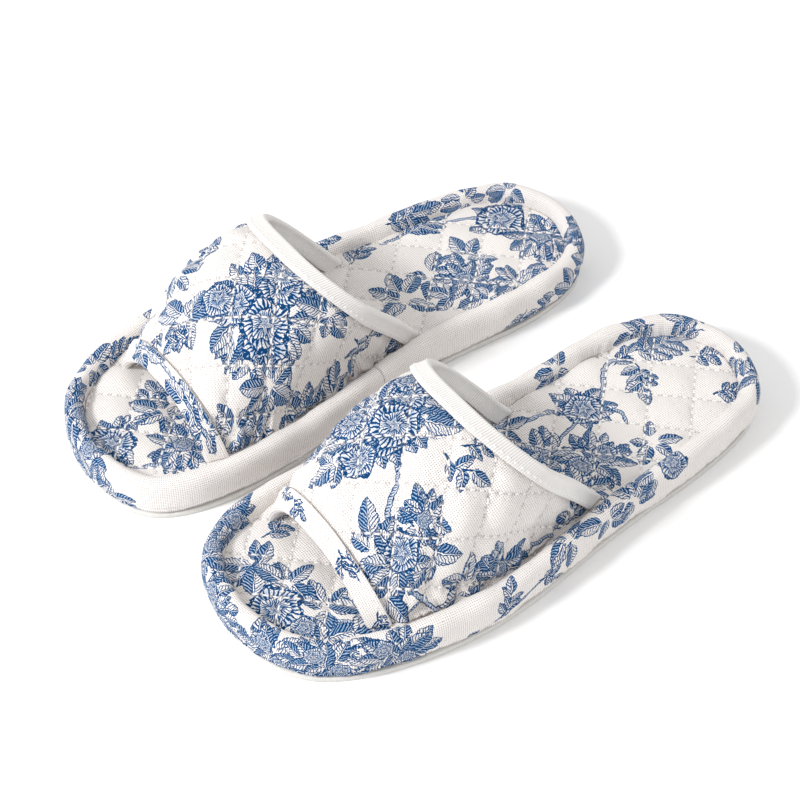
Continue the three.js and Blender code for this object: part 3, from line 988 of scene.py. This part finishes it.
def build_border(slipper, motifs):
    """The rolled border: a stuffed tube of canvas round the sole, with a seam low outside."""
    sides = 46
    turn = np.linspace(0, 2 * math.pi, sides, endpoint=False)[None, :]
    ring, inward = slipper.outline[:, None, :], slipper.inward[:, None, :]
    half_width, half_height = BORDER_WIDTH / 2, (slipper.border_top - slipper.midsole_bottom) / 2
    power = 2 / BORDER_POWER
    inset = half_width + signed_power(np.cos(turn), power) * half_width
    height = slipper.midsole_bottom + half_height * (1 + signed_power(np.sin(turn), power))
    rows = len(slipper.outline)
    plan = ring + inward * inset[..., None]
    points = np.concatenate([plan, np.broadcast_to(height[..., None], (rows, sides, 1))], axis=-1)
    along = run_along(slipper.outline)[:, None]
    section = run_along(np.vstack([points[0], points[0, :1]]))
    around = section[:-1] - np.interp(math.pi / 2, turn[0], section[:-1])
    around = np.where(around > section[-1] * 0.75 - 1e-9, around - section[-1], around)
    cloth = np.stack(np.broadcast_arrays(along, around[None, :]), axis=-1) / MM
    middle = ring + inward * half_width
    middle = np.concatenate([middle, np.full((rows, 1, 1), np.mean(height))], axis=-1)
    outward = points - middle
    wrapped = np.concatenate([points[-1:], points, points[:1]], axis=0)
    wrapped = np.concatenate([wrapped[:, -1:], wrapped, wrapped[:, :1]], axis=1)
    normal = unit(np.cross(np.gradient(wrapped, axis=0), np.gradient(wrapped, axis=1))[1:-1, 1:-1])
    normal *= np.sign(np.sum(normal * outward))
    seam, seam_near, tight = (np.exp(-((np.degrees(turn) - place) / width) ** 2)
                              for place, width in ((SEAM_ANGLE, 5.5), (SEAM_ANGLE, 26), (25, 30)))
    folds = np.abs(np.sin(along / MM * math.pi / 6.5 + 2.2 * noise(points, 24 * MM, 5)))
    lumps = noise(points, 30 * MM, 6)
    raise_by = 0.35 * lumps + (0.5 * seam_near + 0.5 * tight) * (folds - 0.6) * 1.15 - 1.0 * seam
    points = points + normal * raise_by[..., None] * MM
    faces = grid_faces(rows, sides, close_rows=True, close_columns=True)
    flat = points.reshape(-1, 3)
    first = flat[faces[0]]
    facing = np.cross(first[1] - first[0], first[3] - first[0]) @ normal.reshape(-1, 3)[faces[0][0]]
    faces = faces if facing > 0 else faces[:, ::-1]
    attributes = [cloth_attribute(cloth)]
    flat_cloth = cloth.reshape(-1, 2)
    spans = np.ptp(flat_cloth[faces], axis=1).max(axis=1) < 20
    attributes += motifs.attributes(flat_cloth, faces, spans)
    piece = add_turned(slipper, "border", flat, faces, CANVAS, attributes)
    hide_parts(*halves(slipper, "border_cover", "border_roll"))
    bend_with_sole(piece, slipper)


def build_vamp(slipper, motifs):
    vamp = Vamp(slipper)
    distance = vamp.rows(1.5 * MM, -1.5 * MM, 132)
    sheet = vamp.sheet(distance)
    edge = np.minimum(distance, vamp.length[None, :] - distance)
    loose = smoothstep(6 * MM, 17 * MM, edge)
    across = sheet.cloth[..., 0]
    foot = np.minimum(across - across[:, :1], across[:, -1:] - across) * MM
    pillow = quilting(sheet.cloth)
    pucker = noise(sheet.cloth, 5.5, 21) * (1 - pillow) * 0.34 + noise(sheet.cloth, 30.0, 22) * 0.5
    folds = np.sin(sheet.cloth[..., 1] * math.pi / 5.5 + 2.5 * noise(sheet.cloth, 20.0, 23))
    pucker = pucker + folds * 0.85 * (1 - smoothstep(2 * MM, 20 * MM, foot))
    height = (loose * (pillow * 2.0 - 1.1 + pucker) - (1 - loose) * 1.3) * MM
    inner = (3.3 + loose * 0.6 * pillow) * MM
    quilt = sheet_piece(slipper, "vamp_quilt", sheet.raised(height), sheet.raised(-inner), sheet.cloth,
                        CANVAS, motifs, quilted=True)
    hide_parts(f"{slipper.side}_vamp_cover", f"{slipper.side}_vamp_wadding")
    body = f"{slipper.side}_front"
    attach(quilt, body)
    lining = sheet_piece(slipper, "lining_cloth", sheet.raised(-inner - 0.15 * MM),
                         sheet.raised(-inner - 0.95 * MM), sheet.cloth, LINING)
    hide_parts(f"{slipper.side}_vamp_lining")
    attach(lining, body)
    sewn = sheet.rebuilt(height)
    starts, ends = quilting_stitches(sheet.cloth.min(axis=(0, 1)), sheet.cloth.max(axis=(0, 1)))
    thread = stitches(slipper, "vamp_stitches", sewn, starts, ends, sink=-0.15 * MM, keep=0.9)
    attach(thread, body)
    return vamp, quilt


def band_path():
    """A band's section: how far past the edge it lies, how deep, and its normal, from the
    outer lap round the fold to the inner lap."""
    nose, fold_depth, radius = -1.0, 2.4, 1.75
    outer_depth, inner_depth = -0.6, 5.6
    lap = np.linspace(-BAND_WIDTH / MM, nose, 16)
    t = smoothstep(-BAND_WIDTH / MM, nose, lap)
    outer = np.stack([lap, outer_depth + t * (fold_depth - radius - outer_depth)], axis=1)
    turn = np.linspace(math.pi / 2, -math.pi / 2, 12)[1:-1]
    fold = np.stack([nose + radius * np.cos(turn), fold_depth - radius * np.sin(turn)], axis=1)
    inner = np.stack([lap, inner_depth - t * (inner_depth - fold_depth - radius)], axis=1)[::-1]
    path = np.vstack([outer, fold, inner])
    ahead = unit(np.gradient(path, axis=0))
    return path, np.stack([ahead[:, 1], -ahead[:, 0]], axis=1)


def build_band(slipper, vamp, name, node, material, motifs):
    """A tape folded over one edge of the vamp and stitched through."""
    path, normal = band_path()
    run = run_along(path)
    topline = node == "topline_binding"
    wave = noise(np.stack([vamp.across[0] / MM, np.zeros(vamp.columns)], axis=-1), 17.0, 31 + topline)
    surfaces = []
    for off in (0.45, -0.45):
        lap, depth = (path + normal * off).T * MM
        if topline:
            distance = vamp.length[None, :] + lap[:, None]
        else:
            distance = np.repeat(-lap[:, None], vamp.columns, 1)
        surfaces.append(vamp.at(distance, (depth[:, None] + 0.15 * MM * wave[None, :])[..., None]))
    (outer, outward, across), (inner, _, _) = surfaces
    cloth = np.stack([across / MM, np.broadcast_to(run[:, None], across.shape)], axis=-1)
    band = sheet_piece(slipper, name, outer, inner, cloth, material, motifs)
    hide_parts(f"{slipper.side}_{node}")
    body = f"{slipper.side}_front"
    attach(band, body)
    sheet = Sheet(outer, cloth, outward * -normal[:, 1][:, None, None])
    starts, ends = row_stitches(sheet, 2.2)
    thread = stitches(slipper, f"{name}_stitches", sheet, starts, ends, sink=0.0)
    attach(thread, body)


# ---- Where the print lies --------------------------------------------------

def insole_print(side):
    motifs = Print(11)
    if side == "left":
        motifs.sprig((-30, -102), 112, 24)
        motifs.stem([(2, -112), (14, -112), (24, -103), (37, -89)], 1.1)
        motifs.cluster((-19, -112), 6, 14)
        motifs.leaf((-8, -122), 140, 17)
        motifs.cluster((-3, -107), 8, 14)
        motifs.cluster((17, -101), 6, 14)
        motifs.cluster((29, -111), 6, 14)
        motifs.cluster((27, -90), 7, 13)
        motifs.leaf((34, -100), 50, 20)
        motifs.flower((4, -119), 13)
        motifs.flower((19, -115), 6)
        motifs.stem([(-24, 14), (-18, 27), (-17, 41), (-10, 54), (-12, 67), (-25, 81), (-23, 92)], 1.25)
        motifs.stem([(-10, 60), (2, 66), (8, 65)], 0.9)
        motifs.stem([(-4, 46), (-1, 34), (5, 26)], 0.9)
        motifs.sprig((-24, 96), 80, 34, 8)
        motifs.sprig((-23, 84), 100, 18)
        motifs.sprig((-17, 92), 330, 26, 6)
        motifs.sprig((-6, 116), 60, 22)
        motifs.sprig((18, 108), 60, 20)
        motifs.bouquet((4, 24), (13, 11), 20, 1)
        motifs.bouquet((17, 38), (16, 13), 40, 2)
        motifs.cluster((27, 22), 6, 13)
        motifs.cluster((-23, 16), 6, 13)
        motifs.cluster((24, 66), 5, 11)
        motifs.cluster((-10, 54), 8, 13)
        motifs.flower((-9, 54), 10)
    else:
        motifs.sprig((4, -100), 60, 26, 6)
        motifs.cluster((-3, -94), 6, 13)
        motifs.stem([(-8, -118), (-20, -122), (-27, -111), (-38, -92)], 1.0)
        motifs.sprig((4, -116), 110, 16)
        motifs.bouquet((-24, -97), (15, 12), 60, 1)
        motifs.cluster((-4, -122), 8, 13)
        motifs.flower((-4, -122), 12)
        motifs.sprig((30, 30), 60, 26, 6)
        motifs.stem([(33, 50), (32, 72), (28, 86), (20, 100), (12, 108)], 0.9)
        motifs.cluster((1, 56), 6, 13)
        motifs.cluster((1, 77), 6, 13)
        motifs.cluster((-17, 55), 5, 12)
        motifs.cluster((-28, 70), 5, 12)
        motifs.cluster((-26, 86), 8, 13)
        motifs.bouquet((-10, 68), (13, 11), 20, 1)
        motifs.sprig((34, 62), 90, 34, 8)
        motifs.bouquet((-8, 116), (15, 13), 0, 1)
        motifs.cluster((-27, 106))
        motifs.cluster((13, 108), 8, 14)
        motifs.flower((13, 108), 13)
        motifs.cluster((-4, 35), 6, 14)
    for at, angle in (((-20, -60), 40), ((20, -45), 120), ((-14, -20), 300), ((18, -5), 200)):
        motifs.sprig(at, angle, 26, 6)
    return motifs


def border_print(side):
    motifs = Print(22)
    if side == "left":
        for at, radii in (((112, 1), (16, 11)), ((134, 4), (18, 12)), ((155, 12), (15, 12)),
                          ((189, 12), (15, 12)), ((213, 11), (18, 12)), ((241, 11), (17, 11))):
            motifs.bouquet(at, radii, 0, 2)
        motifs.stem([(272, 20), (285, 17), (300, 13), (320, 9), (331, 3)], 0.6)
        motifs.sprig((290, 15), 300, 20, 6)
        motifs.sprig((312, 10), 30, 18)
        for at in ((331, 1), (354, 5), (371, 6), (386, 0), (466, 4), (482, -1), (599, -5)):
            motifs.cluster(at)
        motifs.flower((396, 2), 8)
        motifs.sprig((510, -3), 10, 26, 6)
        motifs.sprig((540, -4), 350, 24, 6)
    else:
        for at, radii in (((166, 6), (14, 11)), ((190, 1), (18, 12)), ((520, 3), (12, 9))):
            motifs.bouquet(at, radii, 0, 2)
        for at in ((222, -3), (142, 16), (156, 17), (409, -3), (436, -4), (462, -3), (532, 13), (545, 17)):
            motifs.cluster(at)
        motifs.sprig((230, -4), 350, 26, 6)
        motifs.sprig((392, -3), 0, 26, 6)
        motifs.sprig((556, 12), 20, 22)
        motifs.sprig((300, 8), 200, 24)
        motifs.bouquet((350, 8), (18, 10), 0, 2)
        for along in (265, 320, 385, 425, 490):
            motifs.sprig((along, 15), along, 22)
    for along in (16, 60, 510, 575, 636) if side == "left" else (510, 575):
        motifs.sprig((along, 13), along * 2, 22)
    return motifs


def vamp_print(side):
    motifs = Print(33)
    if side == "left":
        motifs.stem([(-8, 52), (2, 50), (12, 43), (18, 34), (22, 30), (30, 30)], 1.15)
        motifs.stem([(40, 20), (50, 22), (59, 25), (68, 29), (76, 40), (82, 54), (88, 72), (97, 96),
                     (103, 112)], 1.0)
        motifs.stem([(58, 24), (57, 18)], 0.7)
        motifs.sprig((-30, 31), 222, 24, 6)
        motifs.cluster((26, 18), 7, 14)
        motifs.cluster((45, 36), 8, 13)
        motifs.cluster((38, 22), 8, 14)
        motifs.leaf((46, 12), 15, 14)
        motifs.bouquet((32, 42), (9, 8), 0, 1, 11)
        motifs.flower((35, 27), 9)
        motifs.cluster((73, 44), 7, 12)
        motifs.bouquet((83, 60), (15, 11), 60, 1)
        motifs.cluster((99, 103), 7, 12)
        motifs.sprig((18, 64), 20, 24, 4)
        motifs.sprig((20, 72), 60, 20, 4)
        motifs.bouquet((-15, 54), (30, 22), 62, 3, 14)
        motifs.leaf((1, 66), 40, 17)
        motifs.cluster((-12, 28), 6, 14, 270, 180)
        motifs.flower((-7, 56), 12.5)
        motifs.flower((-24, 76), 9)
        motifs.flower((-6, 36), 9)
        motifs.sprig((-62, 70), 100, 26, 6)
        motifs.bouquet((-84, 42), (16, 12), 80, 1)
    else:
        motifs.stem([(-36, 56), (-52, 49), (-60, 45), (-72, 50), (-82, 46)], 1.1)
        motifs.cluster((-62, 26), 8, 13)
        motifs.cluster((-50, 14), 7, 13)
        motifs.cluster((-64, 14), 6, 12)
        motifs.bouquet((-82, 47), (13, 12), 60, 1)
        motifs.cluster((-87, 66), 7, 12)
        motifs.sprig((-66, 84), 190, 26, 4)
        motifs.sprig((-70, 90), 140, 20, 4)
        motifs.bouquet((-22, 54), (30, 24), 50, 3, 14)
        motifs.cluster((4, 27), 7, 14)
        motifs.cluster((-50, 38), 7, 14)
        motifs.cluster((-42, 78), 8, 14)
        motifs.sprig((-4, 26), 290, 18)
        motifs.flower((-28, 52), 12.5)
        motifs.flower((-14, 72), 9)
        motifs.flower((-4, 44), 9)
        motifs.cluster((38, 84), 7, 13)
        motifs.sprig((32, 68), 250, 24)
        motifs.cluster((28, 44), 6, 13)
        motifs.leaf((30, 24), 260, 14)
        motifs.sprig((12, 17), 250, 14)
        motifs.cluster((-99, 112), 5, 11)
        motifs.bouquet((80, 70), (14, 12), 80, 1)
        motifs.sprig((72, 30), 60, 24)
    return motifs


def band_print(side):
    motifs = Print(44)
    if side == "left":
        for along, angle in ((-30, 0), (-16, 20), (16, 40), (30, 200), (46, 10)):
            motifs.sprig((along, 3), angle, 13)
    else:
        motifs.stem([(24, 3), (8, 2), (-9, 3), (-25, 5), (-47, 5)], 1.0)
        for along in (15, -24, -37):
            motifs.cluster((along, 4))
    return motifs


# ---- The pair --------------------------------------------------------------

def build_slipper(side):
    slipper = Slipper(side)
    build_slabs(slipper)
    build_insole(slipper, insole_print(side))
    build_border(slipper, border_print(side))
    vamp, quilt = build_vamp(slipper, vamp_print(side))
    build_band(slipper, vamp, "top_tape", "topline_binding", TAPE, None)
    build_band(slipper, vamp, "toe_band", "toe_binding", CANVAS, band_print(side))


# ---- Camera, floor and light -----------------------------------------------

LOOK_AT = Vector((0.9, -8.5, 20)) * MM
CAMERA_DISTANCE = 909 * MM
CAMERA_AZIMUTH, CAMERA_ELEVATION = math.radians(54.03), math.radians(45.88)
CAMERA_LENS, SENSOR_WIDTH = 92.1, 36
SKY_STRENGTH = 0.84


def add_camera():
    right = Vector((math.cos(CAMERA_AZIMUTH), math.sin(CAMERA_AZIMUTH), 0))
    level = math.cos(CAMERA_ELEVATION)
    ahead = Vector((-right.y * level, right.x * level, -math.sin(CAMERA_ELEVATION)))
    up = right.cross(ahead)
    camera = bpy.data.objects.new("camera", bpy.data.cameras.new("camera"))
    camera.data.lens, camera.data.sensor_width = CAMERA_LENS, SENSOR_WIDTH
    place = Matrix((right, up, -ahead)).transposed().to_4x4()
    place.translation = LOOK_AT - ahead * CAMERA_DISTANCE
    camera.matrix_world = place
    bpy.context.scene.collection.objects.link(camera)
    bpy.context.scene.camera = camera


def add_floor():
    material, tree, shader = new_material("floor", 0.95)
    place = tree.nodes.new("ShaderNodeTexCoord").outputs["Object"]
    colour = mixed(tree, tone_of(tree, place, 3.0, 2.0), (0.95, 0.95, 0.95), (0.97, 0.97, 0.97))
    connect(tree, colour, shader.inputs["Base Color"])
    bpy.ops.mesh.primitive_plane_add(size=12)
    floor = bpy.context.object
    floor.name = "floor"
    floor.data.materials.append(material)


def add_light(name, offset, size, power):
    lamp = bpy.data.lights.new(name, "AREA")
    lamp.shape, lamp.size, lamp.energy = "DISK", size, power
    thing = bpy.data.objects.new(name, lamp)
    offset = Vector(offset)
    thing.location = LOOK_AT + offset
    thing.rotation_euler = offset.to_track_quat("Z", "Y").to_euler()
    bpy.context.scene.collection.objects.link(thing)


def light_scene():
    scene = bpy.context.scene
    scene.world = bpy.data.worlds.new("studio")
    scene.world.use_nodes = True
    sky = scene.world.node_tree.nodes["Background"]
    sky.inputs["Color"].default_value = (1, 1, 1, 1)
    sky.inputs["Strength"].default_value = SKY_STRENGTH
    scene.view_settings.view_transform = "Standard"
    add_light("key", offset=(-0.12, -1.18, 1.0), size=0.32, power=17.5)


for side in SIDES:
    build_slipper(side)
add_camera()
add_floor()
light_scene()
